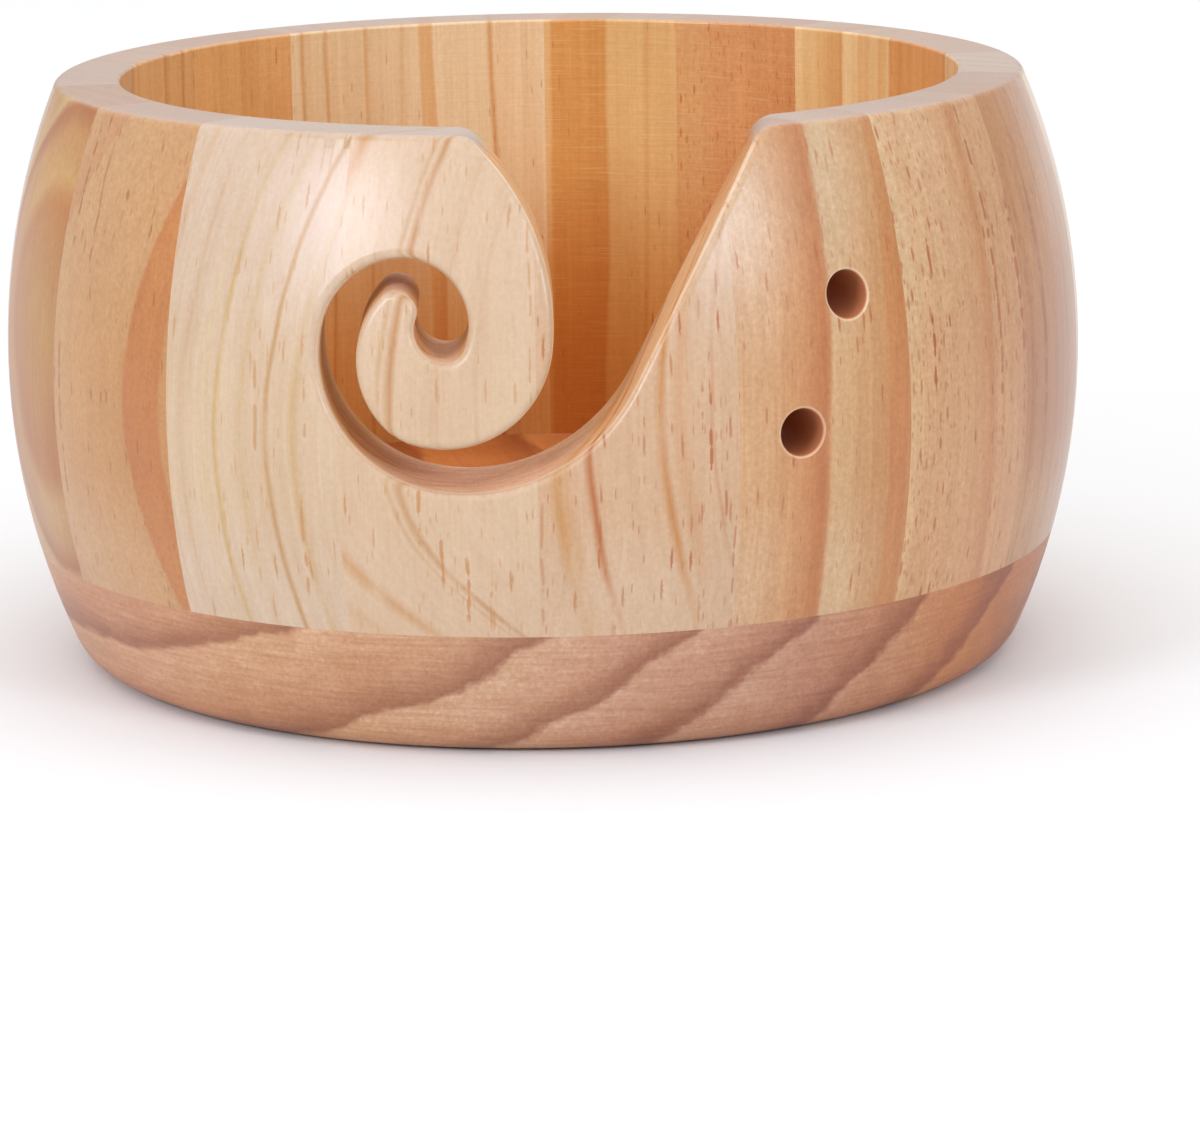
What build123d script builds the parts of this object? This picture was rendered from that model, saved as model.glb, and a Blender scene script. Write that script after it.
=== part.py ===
"""Wooden yarn bowl: a turned barrel of glued staves on a solid disc, with a hooked yarn slot.

Millimetres. +Z is up, the origin is the centre of the underside, and the slot faces -Y.
Azimuths are in degrees from the front, -Y, towards +X.
"""
from build123d import *
import os
from math import ceil, cos, hypot, pi, radians, sin, sqrt

# Turned outside: one barrel arc runs over the base and the staves
MAX_RADIUS = 80.0            # widest radius, at the belly
BELLY_HEIGHT = 45.0          # height of the widest ring above the underside
BARREL_ARC = 104.5           # radius of the arc that the wall follows from base to rim
BASE_ROUND = 7.0             # rounding between the wall and the underside

# Base disc, and the ring of staves that is glued on it
BASE_THICKNESS = 18.5
STAVE_HEIGHT = 68.0
RIM_THICKNESS = 9.4          # wall at the rim, before its edges are rounded
BOARD_WIDTH = 28.0           # widest that a stave can be at the belly
SEAM_AZIMUTH = -0.8          # of the glue line nearest to the front

# Rounded edges of the rim and the slot
OUTER_EDGE_ROUND = 1.2
INNER_EDGE_ROUND = 0.5

# Where the floor of the slot's blind pocket lies
POCKET_X = -13.3
POCKET_BELOW_RIM = 29.6

# Outer wall of the slot: arcs that turn left out of the pocket, then a straight flank to the rim
POCKET_RADIUS = 2.9
POCKET_ANGLE = 69.0
CREST_RADIUS = 8.6
CREST_ANGLE = 120.0
SHOULDER_RADIUS = 12.2
SHOULDER_ANGLE = 69.0
SWEEP_RADIUS = 17.8
SWEEP_ANGLE = 91.5
LIP_RADIUS = 26.2
LIP_ANGLE = 72.5

# Hook wall of the slot: right out of the pocket, left round the tip and under the hook, to the rim
THROAT_RADIUS = 4.1
THROAT_ANGLE = 111.0
TIP_RADIUS = 2.8
TIP_ANGLE = 156.0
CHEEK_RADIUS = 12.5
CHEEK_ANGLE = 88.0
CHIN_RADIUS = 8.9
CHIN_ANGLE = 32.0
JAW_RADIUS = 15.2
JAW_ANGLE = 99.5
BROW_RADIUS = 32.5
BROW_ANGLE = 48.0

MOUTH_CORNER = 4.0           # rounding where the flanks of the slot meet the rim

# Two holes for the needles, drilled level through the wall towards the bowl's axis
NEEDLE_HOLE_DIAMETER = 6.5
NEEDLE_HOLE_ROUND = 0.4
UPPER_HOLE_AZIMUTH = 32.0
UPPER_HOLE_HEIGHT = 63.4
LOWER_HOLE_AZIMUTH = 26.0
LOWER_HOLE_HEIGHT = 45.4

TOUCH = 0.01                 # how near a point must lie to a surface to count as on it


def wall_radius(height):
    """Radius of the turned outside at a height."""
    return MAX_RADIUS - BARREL_ARC + sqrt(BARREL_ARC**2 - (height - BELLY_HEIGHT)**2)


def inside_radius(height):
    """Radius of the straight bore, the same at every height."""
    return bore_radius


def outward(azimuth):
    """Unit vector that points level out of the wall at an azimuth."""
    return Vector(sin(radians(azimuth)), -cos(radians(azimuth)), 0)


def edges_on(part, radius_at):
    """Edges above the ring's foot that lie all along on a turned surface."""
    found = []
    for edge in part.edges():
        along = [edge @ share for share in (0.1, 0.5, 0.9)]
        turned = all(abs(hypot(p.X, p.Y) - radius_at(p.Z)) < TOUCH for p in along)
        if turned and edge.bounding_box().min.Z > BASE_THICKNESS + TOUCH:
            found.append(edge)
    return found


def save(part, name):
    """Labels a finished piece and writes it under its name."""
    part.label = name
    export_step(part, f"parts/{name}.step")


rim_height = BASE_THICKNESS + STAVE_HEIGHT
rim_radius = wall_radius(rim_height)
bore_radius = rim_radius - RIM_THICKNESS
above_rim = rim_height + MOUTH_CORNER
staves_a_side = ceil(pi * MAX_RADIUS / BOARD_WIDTH)
stave_angle = 180 / staves_a_side

os.makedirs("parts", exist_ok=True)

# Base disc
with BuildPart() as base_disc:
    with BuildSketch(Plane.XZ):
        with BuildLine():
            underside = Line((0, 0), (wall_radius(0), 0))
            half_way = BASE_THICKNESS / 2
            top_edge = (wall_radius(BASE_THICKNESS), BASE_THICKNESS)
            side = ThreePointArc(underside @ 1, (wall_radius(half_way), half_way), top_edge)
            Polyline(side @ 1, (0, BASE_THICKNESS), underside @ 0)
        make_face()
    revolve(axis=Axis.Z)
    fillet(base_disc.edges().group_by(Axis.Z)[0], radius=BASE_ROUND)
save(base_disc.part, "base_disc")

# Outline of the slot, as seen from the front
with BuildSketch(Plane.XZ) as slot:
    with BuildLine():
        pocket_floor = (POCKET_X, rim_height - POCKET_BELOW_RIM)
        pocket = JernArc(pocket_floor, (1, 0), POCKET_RADIUS, POCKET_ANGLE)
        crest = JernArc(pocket @ 1, pocket % 1, CREST_RADIUS, CREST_ANGLE)
        shoulder = JernArc(crest @ 1, crest % 1, SHOULDER_RADIUS, SHOULDER_ANGLE)
        sweep_arc = JernArc(shoulder @ 1, shoulder % 1, SWEEP_RADIUS, SWEEP_ANGLE)
        lip = JernArc(sweep_arc @ 1, sweep_arc % 1, LIP_RADIUS, LIP_ANGLE)
        throat = JernArc(pocket_floor, (-1, 0), THROAT_RADIUS, -THROAT_ANGLE)
        tip = JernArc(throat @ 1, throat % 1, TIP_RADIUS, TIP_ANGLE)
        cheek = JernArc(tip @ 1, tip % 1, CHEEK_RADIUS, CHEEK_ANGLE)
        chin = JernArc(cheek @ 1, cheek % 1, CHIN_RADIUS, CHIN_ANGLE)
        jaw = JernArc(chin @ 1, chin % 1, JAW_RADIUS, JAW_ANGLE)
        brow = JernArc(jaw @ 1, jaw % 1, BROW_RADIUS, BROW_ANGLE)
        right_rise = (above_rim - (lip @ 1).Y) / (lip % 1).Y
        left_rise = (above_rim - (brow @ 1).Y) / (brow % 1).Y
        right_flank = Line(lip @ 1, lip @ 1 + lip % 1 * right_rise)
        left_flank = Line(brow @ 1, brow @ 1 + brow % 1 * left_rise)
        Line(right_flank @ 1, left_flank @ 1)
    make_face()

# Ring of staves as it comes off the lathe, slotted through the front wall only, drilled and rounded
with BuildPart() as ring:
    with BuildSketch(Plane.XZ):
        with BuildLine():
            foot = (wall_radius(BASE_THICKNESS), BASE_THICKNESS)
            outside = ThreePointArc(foot, (MAX_RADIUS, BELLY_HEIGHT), (rim_radius, rim_height))
            Polyline(outside @ 1, (bore_radius, rim_height), (bore_radius, BASE_THICKNESS), foot)
        make_face()
    revolve(axis=Axis.Z)
    with BuildSketch(Plane.XZ):
        add(slot.sketch)
    extrude(amount=MAX_RADIUS, mode=Mode.SUBTRACT)
    fillet(ring.edges().filter_by(Axis.Y).group_by(Axis.Z)[-1], radius=MOUTH_CORNER)
    fillet(edges_on(ring, wall_radius), radius=OUTER_EDGE_ROUND)
    fillet(edges_on(ring, inside_radius), radius=INNER_EDGE_ROUND)
    for azimuth, height in (
        (UPPER_HOLE_AZIMUTH, UPPER_HOLE_HEIGHT),
        (LOWER_HOLE_AZIMUTH, LOWER_HOLE_HEIGHT),
    ):
        with BuildSketch(Plane(origin=(0, 0, height), z_dir=outward(azimuth))):
            Circle(NEEDLE_HOLE_DIAMETER / 2)
        extrude(amount=MAX_RADIUS, mode=Mode.SUBTRACT)
        at_height = ring.edges().filter_by(GeomType.LINE, reverse=True)
        mouths = at_height.filter_by(lambda edge: abs(edge.center().Z - height) < TOUCH)
        fillet(mouths, radius=NEEDLE_HOLE_ROUND)

# Staves, cut from the ring along the glue lines, and counted from the front glue line to the right
# and to the left. Where the slot parts a stave, the lower piece stands on the base and the other
# one is on the hook
for side, turn in (("right", 1), ("left", -1)):
    for number in range(1, staves_a_side + 1):
        near_seam = SEAM_AZIMUTH + turn * (number - 1) * stave_angle
        far_seam = SEAM_AZIMUTH + turn * number * stave_angle
        with BuildPart() as stave:
            add(ring.part)
            with BuildSketch(Plane.XY.offset(BASE_THICKNESS)):
                with BuildLine():
                    near_edge = outward(near_seam) * MAX_RADIUS * 2
                    far_edge = outward(far_seam) * MAX_RADIUS * 2
                    Polyline((0, 0), near_edge, far_edge, close=True)
                make_face()
            extrude(amount=STAVE_HEIGHT, mode=Mode.INTERSECT)
        pieces = sorted(stave.solids(), key=lambda solid: solid.bounding_box().min.Z)
        for ending, solid in zip(("", "_hook"), pieces):
            with BuildPart() as piece:
                add(solid)
            save(piece.part, f"stave_{side}_{number:02d}{ending}")
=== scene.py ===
import random
from math import cos, degrees, radians, sin, sqrt

import bpy
from mathutils import Matrix, Vector

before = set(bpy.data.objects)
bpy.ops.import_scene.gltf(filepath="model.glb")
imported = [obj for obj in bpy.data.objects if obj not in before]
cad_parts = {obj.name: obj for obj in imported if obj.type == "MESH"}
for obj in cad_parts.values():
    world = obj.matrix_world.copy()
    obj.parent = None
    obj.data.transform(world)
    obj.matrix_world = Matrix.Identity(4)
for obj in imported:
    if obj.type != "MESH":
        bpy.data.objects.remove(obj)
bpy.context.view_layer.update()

# The bowl's own sizes, in millimetres and degrees, as the solids have them
MM_PER_METRE = 1000.0
BELLY = 80.0                 # widest radius
BORE = 62.0                  # radius of the inside
RIM = 86.5                   # height of the rim
MID_HEIGHT = 45.0
BEND_HEIGHT = 40.0           # where a sweep of the growth rings near the foot starts
SEAM_AZIMUTH = -0.8          # of the glue line nearest to the front
STAVE_ANGLE = 20.0
HOLES = ((32.0, 63.4), (26.0, 45.4))    # azimuth and height of the needle holes
HOLE_RADIUS = 3.25

# Wood tones, as red, green and blue from 0 to 255
CREAM = (226, 198, 169)
STRAW = (222, 188, 150)
BEIGE = (211, 173, 140)
TAN = (207, 163, 124)
PINK_TAN = (200, 154, 124)
SALMON = (204, 150, 112)
ORANGE = (206, 146, 99)
AMBER = (208, 143, 86)
FLECK = (184, 108, 46)
PALE_FLECK = (206, 148, 80)
END_GRAIN = (200, 158, 134)
SCORCH_AND_SHADE = (175, 100, 58)       # walls of a drilled hole: partly scorched wood, partly painted shade
PALE_WEAR_AND_HIGHLIGHT = (246, 222, 192)       # pale wood of the inside's turning scores, and painted highlights on the slot's rounded edge and round the needle holes

# Tints that a wood tone is multiplied by; several paint light and shade
PLAIN = (1.0, 1.0, 1.0)
END_TINT = (0.86, 0.78, 0.74)           # end grain
DEEP_SHADE_TINT = (0.93, 0.66, 0.37)          # painted shade on the inside, down at the floor
SAWN_LEVEL_TONE_AND_LIGHT = (1.12, 1.05, 0.96)    # walls of the slot that look up or down: the cut wood's tone with painted light
SAWN_UPRIGHT_TONE_AND_SHADE = (0.86, 0.64, 0.43)  # walls of the slot that look sideways: the cut wood's tone with painted shade
# The rim top: the end grain's tone, paler and bluer in part as a painted sheen
RIM_TONE_AND_SHEEN = (0.81, 0.88, 0.93)
BASE_FOOT_SHADE_TINT = (0.95, 0.80, 0.66)     # painted shade on the base's rounded foot
BASE_FLOOR_SHADE_TINT = (1.15, 0.76, 0.34)    # painted shade on the base where it is the floor of the inside

# How fast each kind of mark changes, per millimetre across, through and along the fibres
FIBRES = (2.2, 1.5, 0.05)
STREAKS = (0.5, 0.3, 0.012)
CLOUDS = (0.07, 0.05, 0.04)
MOTTLE = (1.5, 1.5, 1.3)
PORES = (1.9, 1.9, 0.5)
STAVE_DRIFT = (0.05, 0.05, 0.03)
STAVE_PATCHES = (0.25, 0.1, 0.045)
BASE_DRIFT = (0.09, 0.12, 0.03)
BASE_RIPPLE = (0.6, 0.6, 0.1)

# How far apart two woods lie in the noise, per unit of seed
SEED_STEP = (37.0, 11.0, 5.0)

# How fast marks of the tools change, per millimetre to the right, to the back and up
SAW_MARKS = (0.16, 1.3, 0.16)
BASE_TURNING = (0.12, 0.12, 2.2)

# How fast marks of turning on the inside change, per degree round the bowl and per millimetre up
TURNING = (0.09, 1.0, 3.0)
SCORES = (0.12, 1.0, 5.0)

# Two sizes of resin fleck: how close across and along, how wide, and how strong
FLECK_SIZES = ((0.75, 0.55, 0.15, 0.85), (1.3, 1.3, 0.17, 0.6))

# Heights between which a stave's outside has its foot, belly and crown tints, which paint light and shade
FOOT_HEIGHTS = (19, 26)
BELLY_HEIGHTS = (37, 52)
UPPER_HEIGHT = 66
CROWN_HEIGHTS = (75, 87)

# How far a face looks up, forward or outward where one kind of face goes over into another
END_GRAIN_UP = (0.68, 0.96)
OUTSIDE_OUTWARD = (0.5, 0.85)
INSIDE_OUTWARD = (-0.6, -0.2)
TURNED_OUTWARD = (0.25, 0.65)           # a turned face, against one that is cut across
TURNED_FORWARD = (0.12, 0.4)            # the same on a stave with the slot
EDGE_FORWARD = (0.15, 0.3)              # the slot's rounded edge, against the slot's wall
EDGE_OUTWARD = (0.42, 0.58)             # and against the outside
BASE_END_GRAIN_FACING = (0.35, 0.9)     # along the fibres of the base

# Heights where one finish goes over into another, and where painted shade deep inside, on the base's foot and
# on its floor begins
RIM_HEIGHTS = (RIM - 3.0, RIM - 1.0)
DEEP_HEIGHTS = (28.0, 72.0)
BASE_FOOT_HEIGHTS = (0.5, 6.0)
BASE_FLOOR_HEIGHTS = (17.0, 18.0)

# Distances from a needle hole's axis where its paler edge, a painted highlight, and its darkened wall, partly
# scorched and partly painted shade, end
HOLE_EDGE = (HOLE_RADIUS + 0.25, HOLE_RADIUS + 0.5)
HOLE_WALL = (HOLE_RADIUS + 0.02, HOLE_RADIUS + 0.16)

# Shares by which a finish shows, painted highlights and shade among them
EDGE_HIGHLIGHT_SHARE = 0.35
HOLE_HIGHLIGHT_SHARE = 0.3
HOLE_WALL_SHARE = 0.9
SCORE_SHARE = 0.22

# Greatest gain that a ramp of gains can hold
GAIN_LIMIT = 1.5


def linear(part):
    """Linear value of one part of a tone, from 0 to 255."""
    part /= 255
    return part / 12.92 if part <= 0.04045 else ((part + 0.055) / 1.055) ** 2.4


def tone(colour):
    """Linear colour of a tone given as red, green and blue from 0 to 255."""
    return (*(linear(part) for part in colour), 1.0)


class Shade:
    """Short ways to add and link the nodes of one material."""

    def __init__(self, name):
        self.material = bpy.data.materials.new(name)
        self.material.use_nodes = True
        self.tree = self.material.node_tree
        self.tree.nodes.clear()

    def put(self, socket, value):
        if isinstance(value, bpy.types.NodeSocket):
            self.tree.links.new(value, socket)
        else:
            socket.default_value = value

    def node(self, kind, *values, **settings):
        node = self.tree.nodes.new(kind)
        for key, value in settings.items():
            setattr(node, key, value)
        for socket, value in zip(node.inputs, values):
            self.put(socket, value)
        return node

    def fill(self, node, **values):
        """Sets or links inputs by name, with _ for each space."""
        for key, value in values.items():
            self.put(node.inputs[key.replace("_", " ")], value)

    def math(self, operation, *values, clamp=False):
        return self.node("ShaderNodeMath", *values, operation=operation, use_clamp=clamp).outputs[0]

    def product(self, first, *others):
        for other in others:
            first = self.math("MULTIPLY", first, other)
        return first

    def swing(self, value, amount, middle):
        """A noise value, made to swing about a middle by half the amount each way."""
        return self.math("MULTIPLY_ADD", self.math("SUBTRACT", value, 0.5), amount, middle)

    def ways(self, value, amount):
        """A factor about one that swings by amount with a noise value."""
        return self.swing(value, 2 * amount, 1.0)

    def opposite(self, share):
        """What is left of one after a share."""
        return self.math("SUBTRACT", 1.0, share, clamp=True)

    def vector(self, operation, *values):
        node = self.node("ShaderNodeVectorMath", *values, operation=operation)
        number = operation in ("DOT_PRODUCT", "LENGTH", "DISTANCE")
        return node.outputs["Value" if number else "Vector"]

    def scaled(self, vector, factor):
        node = self.node("ShaderNodeVectorMath", vector, operation="SCALE")
        self.fill(node, Scale=factor)
        return node.outputs["Vector"]

    def join(self, x, y, z):
        return self.node("ShaderNodeCombineXYZ", x, y, z).outputs[0]

    def parts(self, vector):
        return self.node("ShaderNodeSeparateXYZ", vector).outputs

    def flat(self, vector):
        """The vector without its last part."""
        return self.vector("MULTIPLY", vector, (1.0, 1.0, 0.0))

    def size(self, vector, axis):
        """Size of a direction's part along x, y or z, whichever way it points."""
        return self.math("ABSOLUTE", self.parts(vector)["xyz".index(axis)])

    def step(self, value, low, high, start=0.0, end=1.0):
        """Goes smoothly from start to end while value goes from low to high."""
        node = self.node("ShaderNodeMapRange", value, low, high, start, end)
        node.interpolation_type = "SMOOTHSTEP"
        return node.outputs[0]

    def drop(self, value, low, high):
        """Goes smoothly from one to none while value goes from low to high."""
        return self.step(value, low, high, 1.0, 0.0)

    def mix(self, share, first, second, blend="MIX"):
        node = self.node("ShaderNodeMix", data_type="RGBA", blend_type=blend)
        for place, value in ((0, share), (6, first), (7, second)):
            self.put(node.inputs[place], value)
        return node.outputs[2]

    def tinted(self, colour, tint):
        """A colour multiplied by a tint, which is three numbers or a socket."""
        return self.mix(1.0, colour, (*tint, 1.0) if isinstance(tint, tuple) else tint, "MULTIPLY")

    def noise(self, place, rates, detail=2.0, roughness=0.5):
        """Noise over a place, with how fast it changes along each axis."""
        node = self.node("ShaderNodeTexNoise", noise_dimensions="3D")
        self.fill(node, Vector=self.vector("MULTIPLY", place, rates), Scale=1.0)
        self.fill(node, Detail=detail, Roughness=roughness)
        return node.outputs[0]

    def along(self, value, stops, colour_of):
        """Colour that goes straight from stop to stop of (value, something), with colour_of to read it."""
        low, high = stops[0][0], stops[-1][0]
        share = self.node("ShaderNodeMapRange", value, low, high, 0.0, 1.0).outputs[0]
        node = self.node("ShaderNodeValToRGB", share)
        elements = node.color_ramp.elements
        for count, (place, content) in enumerate(stops):
            position = (place - low) / (high - low)
            element = elements[count] if count < 2 else elements.new(position)
            element.position = position
            element.color = colour_of(content)
        return node.outputs[0]

    def tones(self, value, stops):
        """Colour by value, through stops of (value, tone)."""
        return self.along(value, stops, tone)

    def gains(self, value, stops):
        """Tint by value, through stops of (value, (red, green, blue)), none above the limit."""
        held = self.along(value, stops, lambda gain: (*(part / GAIN_LIMIT for part in gain), 1.0))
        return self.scaled(held, GAIN_LIMIT)

    def amounts(self, value, stops):
        """Number by value, through stops of (value, number), none above one."""
        return self.along(value, stops, lambda amount: (amount, amount, amount, 1.0))

    def deepen(self, colour, value):
        """Lightens or darkens a wood tone by a factor about one, with the dark parts richer in tone."""
        green, blue = self.math("POWER", value, 1.6), self.math("POWER", value, 2.4)
        return self.vector("MULTIPLY", colour, self.join(value, green, blue))

    def finish(self, shader):
        output = self.node("ShaderNodeOutputMaterial")
        self.fill(output, Surface=shader.outputs[0])
        return self.material


def lined(base, low, high, lines):
    """Stops of a base tone with lines of (start, peak, end, tone) on it."""
    stops = [(low, base), (high, base)]
    for start, peak, end, colour in lines:
        stops += [(start, base), (peak, colour), (end, base)]
    return sorted(stops, key=lambda stop: stop[0])


def placed(shade):
    """Position in millimetres and surface direction, in the bowl's frame."""
    position = shade.scaled(shade.node("ShaderNodeTexCoord").outputs["Object"], MM_PER_METRE)
    normal = shade.node("ShaderNodeNewGeometry").outputs["Normal"]
    return position, normal


def flecked(shade, colour, offset, mottle, flecks, length, size, fleck_tone, face):
    """Adds resin flecks: short dashes along the fibres, some long and some short."""
    for across, along, width, strength in FLECK_SIZES:
        sideways, _, lengthwise = shade.parts(shade.vector("MULTIPLY", offset, (across, 1.0, along / length)))
        flat = shade.join(shade.swing(mottle, 0.4, sideways), lengthwise, 0.0)
        cells = shade.node("ShaderNodeTexVoronoi", flat, voronoi_dimensions="2D")
        shade.fill(cells, Scale=1.0)
        near = shade.drop(cells.outputs["Distance"], size * width * 0.6, size * width * 1.25)
        picked = shade.node("ShaderNodeSeparateColor", cells.outputs["Color"]).outputs
        chosen = shade.math("LESS_THAN", picked[0], flecks)
        depth = shade.math("MULTIPLY_ADD", picked[1], 0.65, 0.35)
        colour = shade.mix(shade.product(near, chosen, depth, face, strength), colour, tone(fleck_tone))
    return colour


def surface(shade, colour, local, long_grain, face=0.0, flecks=0.03, fleck_length=6.0, fleck_size=1.0,
            fleck_tone=FLECK, grit=0.2, fibre=1.0, end_share=0.5, pore=0.3, seed=1.0):
    """Lays fibres, mottling, flecks and end grain over a wood's ring colours.

    local is the place in the board in millimetres, with its last part along the fibres. long_grain is
    how far a face lies along the fibres, and face is where flecks may show. flecks is how many of the
    places for a fleck hold one. grit and fibre are how strong the mottling and the fibres are, end_share
    how much of the end grain's own tone shows on it, and pore how strong its pores are.
    """
    offset = shade.vector("ADD", local, tuple(seed * part for part in SEED_STEP))
    fibres = shade.noise(offset, FIBRES, detail=3.0, roughness=0.6)
    streaks = shade.noise(offset, STREAKS)
    clouds = shade.noise(offset, CLOUDS)
    mottle = shade.noise(offset, MOTTLE, detail=3.0, roughness=0.7)
    value = shade.product(
        shade.ways(fibres, fibre * (0.05 + 0.4 * grit)), shade.ways(streaks, fibre * (0.04 + 0.25 * grit)),
        shade.ways(clouds, 0.08), shade.ways(mottle, grit))
    colour = shade.deepen(colour, value)
    colour = flecked(shade, colour, offset, mottle, flecks, fleck_length, fleck_size, fleck_tone, face)

    # End grain is darker and pinker, with fine pores
    pores = shade.noise(offset, PORES, detail=3.0, roughness=0.7)
    end = shade.mix(end_share, shade.tinted(colour, END_TINT), tone(END_GRAIN))
    end = shade.scaled(end, shade.ways(pores, pore))
    return shade.mix(shade.opposite(long_grain), colour, end), fibres, mottle


def lacquer(shade, colour, fibres, mottle, matt=0.0, roughness=0.45, coat=1.0):
    """Ends a wood in a lacquered shader with a trace of grain in its relief, rough where it is matt."""
    relief = shade.math("ADD", shade.product(fibres, 0.6), shade.product(mottle, 0.4))
    bump = shade.node("ShaderNodeBump")
    shade.fill(bump, Strength=0.25, Distance=0.0002, Height=relief)
    rough = shade.swing(mottle, 0.15, roughness)
    if matt:
        rough = shade.math("MULTIPLY_ADD", matt, 0.35, rough)
        coat = shade.math("MULTIPLY_ADD", matt, -0.9 * coat, coat)
    shader = shade.node("ShaderNodeBsdfPrincipled")
    shade.fill(shader, Base_Color=colour, Roughness=rough, IOR=1.45, Specular_IOR_Level=0.3, Coat_Weight=coat,
              Coat_Roughness=0.3, Coat_IOR=1.5, Normal=bump.outputs[0])
    return shade.finish(shader)


def ring_place(shade, local, lean, tree, pith, reference, tilt, bend):
    """Place across a stave's growth rings, in millimetres across the stave at the reference radius."""
    height = shade.parts(local)[2]
    drift = shade.noise(local, STAVE_DRIFT)
    wander = shade.product(shade.math("SUBTRACT", drift, 0.5), 2.4)
    stretch, centre, zero = 1.0, pith, 0.0
    if pith is None:
        stretch = sqrt(1 + lean**2)
        centre, zero = (-tree / stretch, reference - tree * lean / stretch), tree
    radius = shade.vector("DISTANCE", shade.flat(local), (*centre, 0.0))
    rings = shade.product(shade.math("SUBTRACT", radius, zero), stretch)
    rings = shade.math("ADD", rings, wander)
    rings = shade.math("MULTIPLY_ADD", shade.math("SUBTRACT", height, MID_HEIGHT), tilt, rings)
    if bend:
        below = shade.math("MAXIMUM", shade.math("SUBTRACT", BEND_HEIGHT, height), 0.0)
        rings = shade.math("MULTIPLY_ADD", shade.product(below, below), -bend, rings)
    return rings


def dashed(shade, colour, turn, height, face, row, fleck_tone, seed):
    """Adds one row of dark dashes along the fibres: (azimuth, lowest, highest, width, strength)."""
    azimuth, low, high, width, strength = row
    drift = shade.noise(shade.join(seed, 0.0, height), (1.0, 1.0, 0.12), detail=1.0)
    aside = shade.math("ABSOLUTE", shade.math("SUBTRACT", shade.swing(drift, 0.8, turn), azimuth))
    broken = shade.noise(shade.join(seed, azimuth, height), (1.0, 1.0, 0.45))
    reach = shade.step(broken, 0.38, 0.58, 0.0, 0.5 * width)
    line = shade.math("MULTIPLY", shade.math("SUBTRACT", reach, aside), 9.0, clamp=True)
    within = shade.product(shade.step(height, low - 1, low + 1), shade.drop(height, high - 1, high + 1))
    return shade.mix(shade.product(line, within, face, strength), colour, tone(fleck_tone))


def inner_finish(shade, colour, turn, height, inner, scored, seed):
    """The inside: deeper in tone by its tint, with painted shade that deepens it towards the floor, and fine
    marks from turning.
    """
    marks = shade.noise(shade.join(turn, 0.0, height), TURNING, detail=3.0)
    scores = shade.noise(shade.join(turn, seed, height), SCORES)
    colour = shade.mix(shade.step(scores, 0.56, 0.68, 0.0, SCORE_SHARE * scored), colour, tone(PALE_WEAR_AND_HIGHLIGHT))
    colour = shade.scaled(shade.tinted(colour, inner), shade.ways(marks, 0.05 + 0.07 * scored))
    # Painted shade, growing towards the floor of the inside
    deep = shade.drop(height, *DEEP_HEIGHTS)
    return shade.tinted(colour, shade.mix(deep, (*PLAIN, 1.0), (*DEEP_SHADE_TINT, 1.0)))


def outer_finish(shade, colour, height, long_grain, sawn, below_rim, outer, foot, belly, crown):
    """The outside, with its tint by height that paints light and shade, the sawn walls of the slot with
    painted light and shade, and the rim with a painted sheen.
    """
    low_foot, high_foot = FOOT_HEIGHTS
    low_belly, high_belly = BELLY_HEIGHTS
    low_crown, high_crown = CROWN_HEIGHTS
    # Painted light and shade by height: foot, belly and crown tints
    tint = shade.tinted((*outer, 1.0), shade.gains(height, (
        (low_foot, foot), (high_foot, foot), (low_belly, belly), (high_belly, belly), (UPPER_HEIGHT, PLAIN),
        (low_crown, crown), (high_crown, crown))))
    # The slot's walls: the cut wood's tone, painted lighter where they look up or down and darker where they
    # look sideways
    sawn_tint = shade.mix(long_grain, (*SAWN_LEVEL_TONE_AND_LIGHT, 1.0), (*SAWN_UPRIGHT_TONE_AND_SHADE, 1.0))
    tint = shade.mix(sawn, tint, sawn_tint)
    # The rim top's tint, partly a painted sheen
    on_rim = shade.product(shade.opposite(long_grain), shade.opposite(below_rim))
    return shade.tinted(colour, shade.mix(on_rim, tint, (*RIM_TONE_AND_SHEEN, 1.0)))


def slot_finish(shade, colour, position, forward, outward, sawn, below_rim):
    """Saw marks along the slot, and a paler line along its rounded edge: a painted highlight."""
    marks = shade.noise(position, SAW_MARKS, detail=3.0)
    colour = shade.mix(sawn, colour, shade.scaled(colour, shade.ways(marks, 0.3)))
    # Painted highlight along the slot's rounded edge
    edge = shade.product(shade.step(forward, *EDGE_FORWARD), shade.drop(outward, *EDGE_OUTWARD), below_rim)
    return shade.mix(shade.product(edge, EDGE_HIGHLIGHT_SHARE), colour, tone(PALE_WEAR_AND_HIGHLIGHT))


def drilled(shade, colour, position, height, hole_azimuth, hole_height):
    """Walls of a needle hole, darkened partly as scorched wood and partly as painted shade, with a paler edge
    that is a painted highlight, and where those walls are.
    """
    a = radians(hole_azimuth)
    side = shade.vector("DOT_PRODUCT", position, (cos(a), sin(a), 0.0))
    rise = shade.math("SUBTRACT", height, hole_height)
    away = shade.vector("LENGTH", shade.join(side, rise, 0.0))
    edge, wall = shade.drop(away, *HOLE_EDGE), shade.drop(away, *HOLE_WALL)
    # Painted highlight on the hole's edge, and the wall darkened: scorched wood and painted shade
    colour = shade.mix(shade.product(edge, HOLE_HIGHLIGHT_SHARE), colour, tone(PALE_WEAR_AND_HIGHLIGHT))
    return shade.mix(shade.product(wall, HOLE_WALL_SHARE), colour, tone(SCORCH_AND_SHADE)), wall


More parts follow.
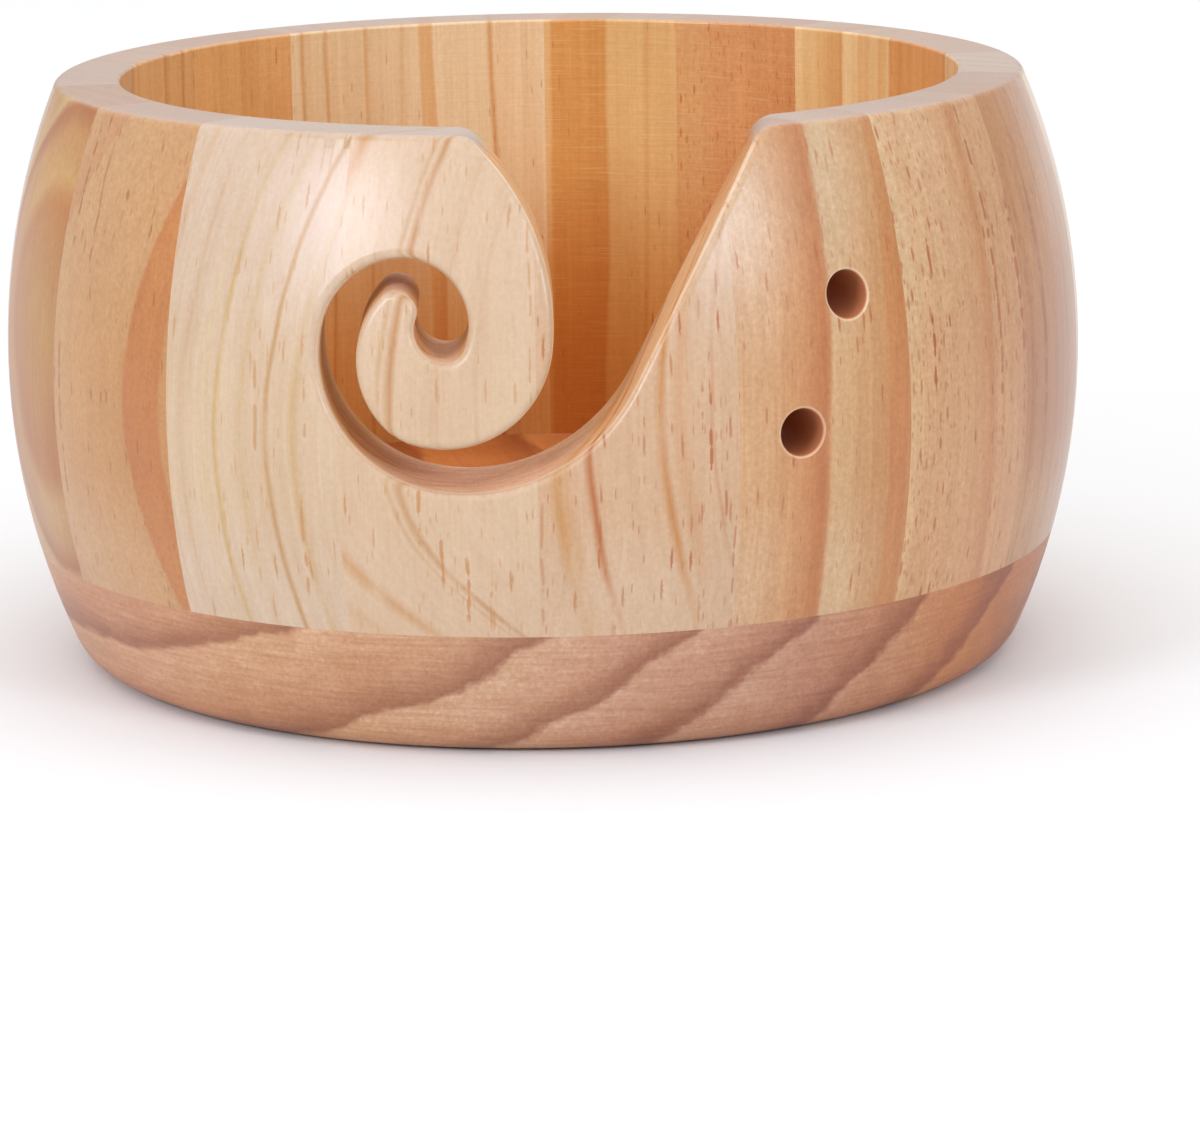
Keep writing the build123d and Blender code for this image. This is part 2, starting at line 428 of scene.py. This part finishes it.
def stave_wood(name, azimuth, stops, ground=None, low_lines=1.0, fade=(36.0, 60.0),
               lean=0.0, tree=140.0, pith=None, reference=BELLY, tilt=0.0, bend=0.0,
               growth=0.08, fibre=1.0, grit=0.16,
               flecks=0.05, fleck_length=6.0, fleck_size=1.0, fleck_tone=FLECK, dashes=(),
               outer=(0.7, 0.66, 0.6), foot=PLAIN, belly=(0.97, 0.91, 0.83), crown=PLAIN,
               inner=(0.82, 0.78, 0.62), scored=0.3, coat=1.0, slotted=False, seed=1.0):
    """Wood of an upright stave centred on an azimuth.

    stops give the tones across the growth rings, in millimetres across the stave at the reference
    radius. Where ground is given they fade in and out into it along the fibres, and down to low_lines
    of their strength over the heights in fade.

    Growth rings run round a pith. lean is how fast a ring drifts sideways with depth in the wall and
    tree its radius there, or pith gives the pith's own place across and through the stave. tilt is
    their drift with height, and bend a sweep of the rings near the foot.

    growth, fibre and grit are how strong the fine growth lines, the fibres and the mottling are. flecks
    is how many places for a fleck hold one, as a number or by place across the rings, and dashes are
    rows placed one by one.

    outer is the tint of the outside, with foot, belly and crown on it at those heights. These paint light and
    shade: darker tints paint shade on the belly, and paler, bluer ones paint highlights near the crown and
    the floor's reflection near the foot. inner is the tint of the inside, and scored how strong its turning
    marks are. coat is the weight of the lacquer, and slotted is for a stave that the yarn slot cuts.
    """
    shade = Shade(name)
    position, normal = placed(shade)
    a = radians(azimuth)
    across = shade.vector("DOT_PRODUCT", position, (cos(a), sin(a), 0.0))
    through = shade.vector("DOT_PRODUCT", position, (sin(a), -cos(a), 0.0))
    height = shade.parts(position)[2]
    turn = shade.math("MULTIPLY_ADD", shade.math("ARCTAN2", across, through), degrees(1.0), azimuth)
    local = shade.join(across, through, height)
    rings = ring_place(shade, local, lean, tree, pith, reference, tilt, bend)
    colour = shade.tones(rings, stops)
    if ground:
        patches = shade.noise(local, STAVE_PATCHES)
        strength = shade.step(patches, 0.32, 0.54, 0.45, 1.0)
        strength = shade.product(strength, shade.step(height, *fade, low_lines, 1.0))
        colour = shade.mix(strength, tone(ground), colour)

    # Fainter growth lines between the placed ones
    fine = shade.noise(shade.join(rings, seed, height), (0.9, 1.0, 0.01))
    colour = shade.deepen(colour, shade.ways(fine, growth))

    # Which way a face looks: along the fibres, out of the wall, or across a cut
    long_grain = shade.drop(shade.size(normal, "z"), *END_GRAIN_UP)
    away = shade.vector("NORMALIZE", shade.flat(position))
    outward = shade.vector("DOT_PRODUCT", away, normal)
    if slotted:
        # The slot is cut straight back, so its walls don't look forward at all
        forward = shade.size(normal, "y")
        turned_face = shade.step(forward, *TURNED_FORWARD)
    else:
        turned_face = shade.step(shade.math("ABSOLUTE", outward), *TURNED_OUTWARD)
    below_rim = shade.drop(height, *RIM_HEIGHTS)
    sawn = shade.product(shade.opposite(turned_face), below_rim)

    if isinstance(flecks, list):
        flecks = shade.amounts(rings, flecks)
    colour, fibres, mottle = surface(
        shade, colour, local, long_grain, turned_face, flecks, fleck_length, fleck_size, fleck_tone,
        grit=grit, fibre=fibre, seed=seed)
    outside = shade.step(outward, *OUTSIDE_OUTWARD)
    for count, row in enumerate(dashes):
        colour = dashed(shade, colour, turn, height, outside, row, fleck_tone, seed + 0.37 * count)

    finished = outer_finish(shade, colour, height, long_grain, sawn, below_rim, outer, foot, belly, crown)
    if slotted:
        finished = slot_finish(shade, finished, position, forward, outward, sawn, below_rim)
    inside = shade.drop(outward, *INSIDE_OUTWARD)
    colour = shade.mix(inside, finished, inner_finish(shade, colour, turn, height, inner, scored, seed))
    matt = sawn if slotted else 0.0
    for hole_azimuth, hole_height in HOLES:
        if abs(hole_azimuth - azimuth) < STAVE_ANGLE / 2:
            colour, wall = drilled(shade, colour, position, height, hole_azimuth, hole_height)
            matt = shade.math("MAXIMUM", matt, wall)
    return lacquer(shade, colour, fibres, mottle, matt, coat=coat)


def azimuth_of(side, number):
    """Azimuth of the middle of a stave."""
    way = 1 if side == "right" else -1
    return SEAM_AZIMUTH + way * (number - 0.5) * STAVE_ANGLE


woods = {}


def stave(side, number, stops, **looks):
    """Makes the wood of one stave and keeps it under the stave's name."""
    label = f"{side}_{number:02d}"
    woods[label] = stave_wood(f"pine_{label}", azimuth_of(side, number), stops, **looks)


def back_stave(side, number, stops, **looks):
    """Makes the wood of a stave of the back wall, whose inner face shows over the rim."""
    stave(side, number, stops, reference=BORE, **looks)


def plain_stave(side, number, base, seed, lean, flecks=0.1, inner=(0.92, 0.85, 0.64)):
    """Wood of a stave that hardly shows from the front: a few soft bands and lines, chosen by seed."""
    pick = random.Random(seed)
    lines, place = [], -30.0
    while place < 16.0 and len(lines) < 9:
        width = pick.uniform(0.5, 2.4)
        shades = ((0.95, 0.9, 0.84), (0.97, 0.94, 0.9), (0.9, 0.8, 0.7))
        darker = tuple(int(c * f) for c, f in zip(base, pick.choice(shades)))
        lines.append((place, place + width, place + width + pick.uniform(0.2, 0.6), darker))
        place += width + pick.uniform(1.8, 5.0)
    stave(side, number, lined(base, -45.0, 20.0, lines), lean=lean, tree=pick.uniform(60, 160), flecks=flecks,
          seed=seed, tilt=pick.uniform(-0.04, 0.04), outer=(0.72, 0.66, 0.55), inner=inner)


# Staves that the front view shows, with their bands where the wood has them
stave(
    "left", 1,
    lined((228, 202, 173), -48.0, 18.0, [
        (-40, -36, -34, STRAW), (-30, -25.5, -24, STRAW),
        (-20.9, -18.6, -16.7, (214, 162, 102)),
        (-7.9, -7.4, -6.8, (214, 178, 134)), (-6.7, -5.7, -4.9, (202, 150, 92)),
        (-1.0, 0.8, 1.4, (222, 192, 160)), (5.8, 6.4, 7.0, (223, 194, 164)),
    ]),
    ground=(228, 202, 173), low_lines=0.75, lean=1.376, tree=50.0, tilt=0.103, bend=0.0222,
    growth=0.05, fibre=0.75, grit=0.1,
    flecks=[(-40, 0.2), (-9, 0.16), (-5, 0.3), (0, 0.14), (18, 0.1)], fleck_tone=PALE_FLECK,
    dashes=((-12.6, 32, 40, 0.5, 0.8), (-10.4, 26, 34, 0.5, 0.8), (-8.0, 21, 30, 0.5, 0.8),
            (-5.6, 20, 27, 0.4, 0.6), (-1.3, 50, 76, 0.35, 0.5)),
    outer=(0.706, 0.638, 0.573), belly=(0.99, 0.98, 0.95), slotted=True, seed=1.0)
stave(
    "left", 2,
    lined((226, 199, 169), -30.0, 18.0, [
        (-24, -22, -21.4, STRAW), (-19, -17, -16.5, STRAW),
        (-12.4, -11.9, -11.3, (218, 184, 146)), (-9.4, -6.9, -6.0, (226, 199, 162)),
        (-6.9, -5.3, -4.3, (214, 180, 122)), (-1.9, -0.9, 0.1, (218, 188, 146)),
        (2.8, 3.4, 4.0, (204, 158, 98)), (6.3, 7.3, 8.2, (216, 182, 134)),
    ]),
    ground=(226, 199, 169), lean=0.92, tree=500.0, tilt=-0.011, fibre=0.75, grit=0.1,
    flecks=[(-30, 0.05), (-8, 0.05), (3, 0.22), (6, 0.16), (10, 0.07), (18, 0.07)], fleck_length=7.0,
    fleck_tone=PALE_FLECK,
    dashes=((-29.6, 42, 56, 0.5, 0.6), (-24.1, 44, 54, 0.5, 0.6), (-24.8, 24, 39, 0.5, 0.7),
            (-33.9, 20, 40, 0.4, 0.4)),
    outer=(0.712, 0.683, 0.665), belly=(0.985, 0.95, 0.86), crown=(0.98, 0.965, 0.97), slotted=True, seed=2.0)
stave(
    "left", 3,
    [(-45, TAN), (-30, ORANGE), (-29.6, TAN), (-18, SALMON), (-17.6, TAN), (-13, (209, 164, 126)),
     (-2, (210, 163, 124)), (4.9, (208, 160, 120)), (5.5, (202, 132, 76)), (8, (205, 137, 80)),
     (12.6, (204, 136, 80)), (13.4, (211, 160, 118)), (18, TAN)],
    lean=1.95, tree=50.0, tilt=0.042, growth=0.04, fibre=0.45, grit=0.22,
    flecks=0.16, fleck_length=4.0, fleck_tone=(166, 100, 44),
    dashes=((-59.5, 22, 55, 0.5, 0.7), (-58.5, 68, 84, 0.5, 0.8), (-56.8, 74, 86, 0.5, 0.8),
            (-54.6, 66, 84, 0.5, 0.55), (-49.8, 75, 79, 0.7, 0.7)),
    outer=(0.74, 0.68, 0.505), belly=(0.935, 0.84, 0.60), crown=(1.03, 1.03, 1.01), seed=3.0)
stave(
    "left", 4,
    [(160, TAN), (168.4, (210, 174, 122)), (171.0, (208, 168, 114)), (173.1, (198, 134, 78)),
     (173.9, (204, 158, 108)), (175.4, (200, 146, 98)), (176.6, (180, 108, 60)), (177.3, (208, 168, 126)),
     (180.3, (200, 150, 108)), (180.8, (206, 166, 128)), (184, (200, 148, 106)), (184.5, (206, 166, 128)),
     (188, (200, 148, 106)), (188.5, (206, 166, 128)), (200, TAN)],
    pith=(28.7, 250.0), tilt=-0.081, flecks=0.06, grit=0.2, outer=(0.68, 0.585, 0.38),
    foot=(1.06, 1.21, 1.48), belly=(0.91, 0.80, 0.55), crown=(1.16, 1.28, 1.40), coat=0.55, seed=4.0)
stave(
    "right", 1,
    lined((221, 194, 164), -40.0, 18.0, [
        (-35, -31, -30.5, STRAW), (-27, -23, -22.4, STRAW),
        (-13.4, -11.9, -9.4, (212, 166, 106)), (-8.2, -7.1, -6.3, (192, 112, 32)),
        (2.1, 3.3, 4.2, (206, 146, 70)), (4.3, 6.0, 7.4, (216, 178, 138)), (9.6, 10.1, 10.5, (208, 168, 132)),
    ]),
    ground=(221, 194, 164), low_lines=0.25, fade=(20.0, 34.0), lean=0.997, tree=88.0, tilt=0.058,
    growth=0.05, fibre=0.8, grit=0.13, flecks=0.24, fleck_tone=(188, 106, 32),
    dashes=((-0.5, 20, 38, 0.4, 0.4), (16.4, 39, 52, 0.45, 0.9), (17.8, 34, 39, 0.4, 0.7),
            (15.4, 46, 53, 0.4, 0.7), (18.9, 18, 36, 0.35, 0.6), (5.2, 28, 40, 0.4, 0.6)),
    outer=(0.724, 0.634, 0.565), belly=(0.98, 0.92, 0.84), slotted=True, seed=5.0)
stave(
    "right", 2,
    [(-20, BEIGE), (-14, (217, 181, 146)), (-10, (216, 178, 142)), (-6, (211, 162, 117)),
     (-3, (203, 143, 93)), (-1.0, (194, 125, 70)), (-0.1, (200, 138, 88)), (0.5, (216, 183, 146)),
     (3.2, (216, 182, 144)), (5.2, (212, 171, 129)), (7.5, (208, 162, 116)), (9.6, (206, 155, 104)),
     (10.3, (203, 141, 84)), (12.8, (200, 135, 76)), (13.6, (203, 145, 90)), (20, ORANGE)],
    lean=0.03, tree=90.0, tilt=-0.02, grit=0.22, flecks=0.16, fleck_length=5.0,
    dashes=((33.6, 20, 36, 0.35, 0.6), (23.8, 34, 40, 0.4, 0.5)),
    outer=(0.75, 0.67, 0.565), foot=(1.02, 1.04, 1.07), belly=(0.975, 0.90, 0.77), crown=(1.0, 1.07, 1.16),
    slotted=True, seed=6.0)
stave(
    "right", 3,
    [(-20, BEIGE), (-14, (214, 182, 148)), (-12, (212, 178, 143)), (-11, (208, 168, 132)),
     (-2, (206, 164, 128)), (1.8, (202, 153, 112)), (4.3, (192, 133, 84)), (5.1, (202, 156, 115)),
     (6.6, (202, 155, 114)), (7.1, (194, 144, 104)), (7.5, (203, 157, 116)), (12.4, (201, 153, 112)),
     (13.1, (190, 138, 100)), (13.6, (198, 148, 108)), (20, PINK_TAN)],
    lean=0.05, tree=110.0, grit=0.24,
    flecks=[(-20, 0.5), (-12, 0.55), (-7, 0.4), (-1, 0.1), (3.5, 0.12), (4.5, 0.4), (12, 0.3), (20, 0.3)],
    fleck_length=3.0, fleck_size=1.25, fleck_tone=(168, 84, 24),
    dashes=((42.8, 48, 59, 0.5, 0.95), (43.4, 64, 70, 0.5, 0.8), (53.9, 40, 86, 0.6, 0.8),
            (58.7, 42, 72, 0.8, 0.8)),
    outer=(0.833, 0.78, 0.645), foot=(0.98, 0.87, 0.75), belly=(0.945, 0.85, 0.73), seed=7.0)
stave(
    "right", 4,
    [(-25, TAN), (-13.9, (200, 151, 103)), (-12.5, (199, 150, 103)), (-11.6, (190, 138, 92)),
     (-11.2, (198, 149, 102)), (-7.4, (197, 148, 103)), (-6.4, (187, 132, 88)), (-5.9, (196, 147, 104)),
     (-2.6, (197, 150, 112)), (-1.2, (189, 139, 104)), (-0.8, (197, 152, 118)), (4.0, (199, 157, 128)),
     (5.4, (186, 138, 112)), (5.9, (199, 158, 131)), (11, (203, 166, 142)), (20, (206, 172, 150))],
    lean=0.1, tree=100.0, grit=0.26, flecks=0.16, fleck_length=4.0, fleck_size=1.2, fleck_tone=(168, 92, 36),
    dashes=((64.4, 40, 72, 1.0, 0.6), (66.5, 68, 72, 0.8, 0.5), (60.4, 56, 70, 0.7, 0.4)),
    outer=(0.71, 0.583, 0.43), foot=(1.05, 1.2, 1.48), belly=(0.90, 0.80, 0.74), crown=(1.04, 1.08, 1.1),
    coat=0.75, seed=8.0)

# Staves of the back wall, whose inner faces show over the rim and through the slot
back_stave(
    "right", 9,
    [(-16, STRAW), (-9, (222, 180, 135)), (-6, (221, 180, 135)), (-5.4, (214, 166, 116)),
     (-4.6, (222, 182, 138)), (0.9, (221, 180, 135)), (1.5, (207, 146, 85)), (5, (213, 153, 90)),
     (9.6, (215, 155, 93)), (10.1, (223, 180, 134)), (16, CREAM)],
    lean=0.12, tree=80.0, tilt=0.012, fibre=0.6, grit=0.1, flecks=0.06, inner=(0.985, 0.92, 0.62), scored=1.0,
    seed=9.0)
back_stave(
    "right", 8,
    [(-16, SALMON), (-11, (208, 140, 92)), (-4, (210, 144, 95)), (4, (211, 147, 97)), (7.6, (214, 158, 106)),
     (10.8, (213, 156, 104)), (16, TAN)],
    lean=0.2, tree=90.0, fibre=0.6, flecks=0.4, fleck_length=3.0, inner=(1.0, 1.02, 0.85), scored=1.0,
    seed=10.0)
back_stave(
    "right", 7,
    [(-16, STRAW), (-10.5, (226, 184, 130)), (-9.2, (218, 166, 108)), (-8, (216, 160, 100)),
     (-7.4, (224, 180, 126)), (-3.2, (217, 162, 104)), (-2.6, (226, 184, 130)), (0.6, (226, 183, 128)),
     (0.9, (206, 144, 84)), (3, (213, 156, 96)), (7, (222, 174, 116)), (10, (225, 180, 124)), (16, CREAM)],
    lean=0.1, tree=100.0, grit=0.1, inner=(1.06, 1.16, 1.157), seed=11.0)
plain_stave("right", 6, (216, 166, 118), 12, 0.3, inner=(0.945, 0.76, 0.46))
plain_stave("right", 5, CREAM, 13, 0.8)
back_stave(
    "left", 9,
    [(-16, CREAM), (-10, (220, 176, 130)), (-3.5, (219, 174, 128)), (-2.9, (200, 134, 74)),
     (-2.2, (222, 182, 138)), (5.9, (222, 182, 138)), (6.4, (210, 152, 96)), (8.3, (213, 160, 106)),
     (8.8, (222, 182, 138)), (16, STRAW)],
    lean=0.08, tree=110.0, tilt=-0.02, grit=0.1, flecks=0.08, inner=(1.08, 1.195, 1.18), seed=14.0)
back_stave(
    "left", 8,
    [(-16, STRAW), (-9.5, (218, 172, 128)), (-8.6, (213, 162, 112)), (-8.2, (219, 174, 130)),
     (-3.6, (218, 172, 128)), (-2.9, (204, 146, 92)), (-2.4, (219, 174, 130)), (3.4, (219, 173, 128)),
     (4.0, (206, 148, 94)), (4.5, (220, 176, 132)), (7.8, (219, 173, 128)), (8.3, (203, 144, 90)),
     (8.8, (222, 178, 134)), (16, CREAM)],
    lean=0.1, tree=120.0, grit=0.1, flecks=0.06, inner=(1.065, 1.21, 1.18), seed=15.0)
back_stave(
    "left", 7,
    [(-16, AMBER), (-4, (204, 141, 84)), (-0.7, (200, 136, 78)), (-0.2, (207, 147, 90)), (8, (206, 144, 86)),
     (16, AMBER)],
    lean=0.1, tree=120.0, grit=0.14, flecks=0.12, inner=(1.16, 1.315, 1.29), seed=16.0)
plain_stave("left", 6, (218, 170, 122), 17, 0.4, inner=(0.97, 0.9, 0.67))
plain_stave("left", 5, BEIGE, 18, 0.9, flecks=0.2)

# The base disc's grain: its fibres run from front to back, turned by an angle, round a far pith
BASE_TURN = 10.0
BASE_PITH = (-116.0, 174.0)             # across the fibres, and up
BASE_RING_START = 146.0
BASE_RING_EDGES = (158.0, 171.0, 187.0, 199.0, 210.0, 223.0, 235.0, 247.0)

# How the tones of the base change from its left side to its right, in millimetres from the middle: partly the
# board's own tone, partly painted light and shade, darker and redder towards the sides and paler in the
# middle
BASE_TONE_AND_SHADE_GAINS = (
    (-72, (0.80, 0.70, 0.56)), (-58, (0.88, 0.82, 0.72)), (-42, (0.95, 0.97, 0.82)),
    (-24, (1.01, 1.11, 1.02)), (-8, (1.03, 1.20, 1.20)), (6, (0.95, 1.03, 1.05)),
    (23, (0.93, 0.99, 1.02)), (36, (0.87, 0.85, 0.87)), (48, (0.88, 0.80, 0.67)),
    (57, (0.85, 0.63, 0.35)), (65, (0.70, 0.42, 0.18)), (75, (0.70, 0.47, 0.26)),
)


def base_stops():
    """Tones across the base's rings: each darkens to its edge, and the next starts pale."""
    stops, previous = [(140.0, (206, 158, 122))], BASE_RING_START
    for edge in BASE_RING_EDGES:
        stops += [(previous + 0.6 * (edge - previous), (196, 144, 114)), (edge - 0.6, (160, 104, 78)),
                  (edge + 0.3, (208, 162, 132))]
        previous = edge
    return [*stops, (262.0, (190, 140, 108))]


def base_wood():
    """Wood of the base disc: level fibres that run from front to back, and wide rings."""
    shade = Shade("pine_base")
    position, normal = placed(shade)
    a = radians(BASE_TURN)
    fibre = (-sin(a), cos(a), 0.0)
    across = shade.vector("DOT_PRODUCT", position, (cos(a), sin(a), 0.0))
    along = shade.vector("DOT_PRODUCT", position, fibre)
    side, _, height = shade.parts(position)
    local = shade.join(across, height, along)
    drift, ripple = shade.noise(local, BASE_DRIFT), shade.noise(local, BASE_RIPPLE, detail=3.0)
    wander = shade.swing(ripple, 1.7, shade.swing(drift, 5.0, 0.0))
    radius = shade.vector("DISTANCE", shade.flat(local), (*BASE_PITH, 0.0))
    colour = shade.tones(shade.math("ADD", radius, wander), base_stops())
    facing = shade.math("ABSOLUTE", shade.vector("DOT_PRODUCT", normal, fibre))
    long_grain = shade.drop(facing, *BASE_END_GRAIN_FACING)
    colour, fibres, mottle = surface(shade, colour, local, long_grain, end_share=0.0, pore=0.12, seed=21.0)
    marks = shade.noise(position, BASE_TURNING, detail=3.0)
    colour = shade.deepen(colour, shade.ways(marks, 0.2))

    # The board is darker and redder towards its sides, partly its own tone and partly painted shade, and has
    # painted shade at its rounded foot and where it is the bowl's floor
    outside = shade.tinted(colour, shade.gains(side, BASE_TONE_AND_SHADE_GAINS))
    foot = shade.drop(height, *BASE_FOOT_HEIGHTS)
    outside = shade.mix(foot, outside, shade.tinted(outside, BASE_FOOT_SHADE_TINT))
    from_axis = shade.vector("LENGTH", shade.flat(position))
    inside = shade.drop(from_axis, BORE - 0.5, BORE + 0.5)
    inside = shade.product(inside, shade.step(height, *BASE_FLOOR_HEIGHTS))
    colour = shade.mix(inside, outside, shade.tinted(colour, BASE_FLOOR_SHADE_TINT))
    return lacquer(shade, colour, fibres, mottle, roughness=0.5, coat=0.4)


base = base_wood()
for name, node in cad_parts.items():
    wood = base if name == "base_disc" else woods[name.removeprefix("stave_").removesuffix("_hook")]
    node.data.materials.clear()
    node.data.materials.append(wood)

# Soft lights: name, place, where it points, width and height, power, colour. All in metres and watts
LIGHTS = (
    ("softbox_left", (-0.822, -0.837, 0.546), (0, 0, 0.07), (0.38, 0.34), 6.0, (0.80, 0.85, 1.0)),
    ("softbox_right", (0.743, -0.914, 0.529), (0, 0, 0.07), (0.30, 0.34), 3.8, (0.78, 0.86, 1.0)),
    ("softbox_back", (0.62, 1.03, 0.12), (0, 0, 0.05), (0.5, 0.4), 0.3, (0.9, 0.95, 1.0)),
)

# Pale floor, and surroundings that are greyest below and white above
FLOOR_HALF = 6.0
FLOOR_COLOUR = (0.82, 0.82, 0.82, 1.0)
LOW_SURROUNDINGS = (0.29, 0.285, 0.29, 1.0)
HIGH_SURROUNDINGS = (1.0, 1.0, 1.0, 1.0)
SURROUNDINGS_STRENGTH = 1.52

# Camera, in metres, degrees and millimetres of film
CAMERA_DISTANCE = 0.730518
CAMERA_AIM_HEIGHT = 0.043
CAMERA_ELEVATION = 10.631
CAMERA_PITCH = 2.554         # below the line to the aim
CAMERA_YAW = 0.635           # to the right of it
CAMERA_ROLL = 0.842
SENSOR_WIDTH = 36.0
FOCAL_LENGTH = 145.47


def added(name, data):
    item = bpy.data.objects.new(name, data)
    bpy.context.scene.collection.objects.link(item)
    return item


def area_light(name, place, aim, size, power, colour):
    light = bpy.data.lights.new(name, "AREA")
    light.shape = "RECTANGLE"
    light.size, light.size_y = size
    light.energy = power
    light.color = colour
    lamp = added(name, light)
    lamp.location = place
    lamp.rotation_mode = "QUATERNION"
    lamp.rotation_quaternion = (Vector(aim) - Vector(place)).to_track_quat("-Z", "Y")


def pale_floor():
    mesh = bpy.data.meshes.new("floor")
    corners = [(FLOOR_HALF * x, FLOOR_HALF * y, 0) for x, y in ((-1, -1), (1, -1), (1, 1), (-1, 1))]
    mesh.from_pydata(corners, [], [(0, 1, 2, 3)])
    floor = added("floor", mesh)
    shade = Shade("floor_paper")
    shader = shade.node("ShaderNodeBsdfPrincipled")
    shade.fill(shader, Base_Color=FLOOR_COLOUR, Roughness=0.9, Specular_IOR_Level=0.1)
    mesh.materials.append(shade.finish(shader))


def surroundings():
    world = bpy.data.worlds.new("studio")
    world.use_nodes = True
    tree = world.node_tree
    tree.nodes.clear()
    place = tree.nodes.new("ShaderNodeTexCoord")
    split = tree.nodes.new("ShaderNodeSeparateXYZ")
    ramp = tree.nodes.new("ShaderNodeValToRGB")
    back = tree.nodes.new("ShaderNodeBackground")
    out = tree.nodes.new("ShaderNodeOutputWorld")
    tree.links.new(place.outputs["Generated"], split.inputs[0])
    tree.links.new(split.outputs[2], ramp.inputs[0])
    tree.links.new(ramp.outputs[0], back.inputs[0])
    tree.links.new(back.outputs[0], out.inputs[0])
    ramp.color_ramp.elements[0].color = LOW_SURROUNDINGS
    ramp.color_ramp.elements[1].color = HIGH_SURROUNDINGS
    back.inputs["Strength"].default_value = SURROUNDINGS_STRENGTH
    bpy.context.scene.world = world


def camera():
    """Camera at the photograph's viewing angle."""
    elevation, yaw, roll = radians(CAMERA_ELEVATION), radians(CAMERA_YAW), radians(CAMERA_ROLL)
    down = elevation + radians(CAMERA_PITCH)
    aim = Vector((0, 0, CAMERA_AIM_HEIGHT))
    place = aim + CAMERA_DISTANCE * Vector((0, -cos(elevation), sin(elevation)))
    forward = Vector((sin(yaw) * cos(down), cos(yaw) * cos(down), -sin(down)))
    right = forward.cross(Vector((0, 0, 1))).normalized()
    up = right.cross(forward)
    turned_right = cos(roll) * right - sin(roll) * up
    turned_up = sin(roll) * right + cos(roll) * up
    axes = Matrix((turned_right, turned_up, -forward)).transposed()
    data = bpy.data.cameras.new("camera")
    data.sensor_width = SENSOR_WIDTH
    data.lens = FOCAL_LENGTH
    item = added("camera", data)
    item.matrix_world = Matrix.Translation(place) @ axes.to_4x4()
    bpy.context.scene.camera = item


pale_floor()
surroundings()
for light in LIGHTS:
    area_light(*light)
camera()
scene = bpy.context.scene
scene.view_settings.view_transform = "Standard"
scene.cycles.use_denoising = True
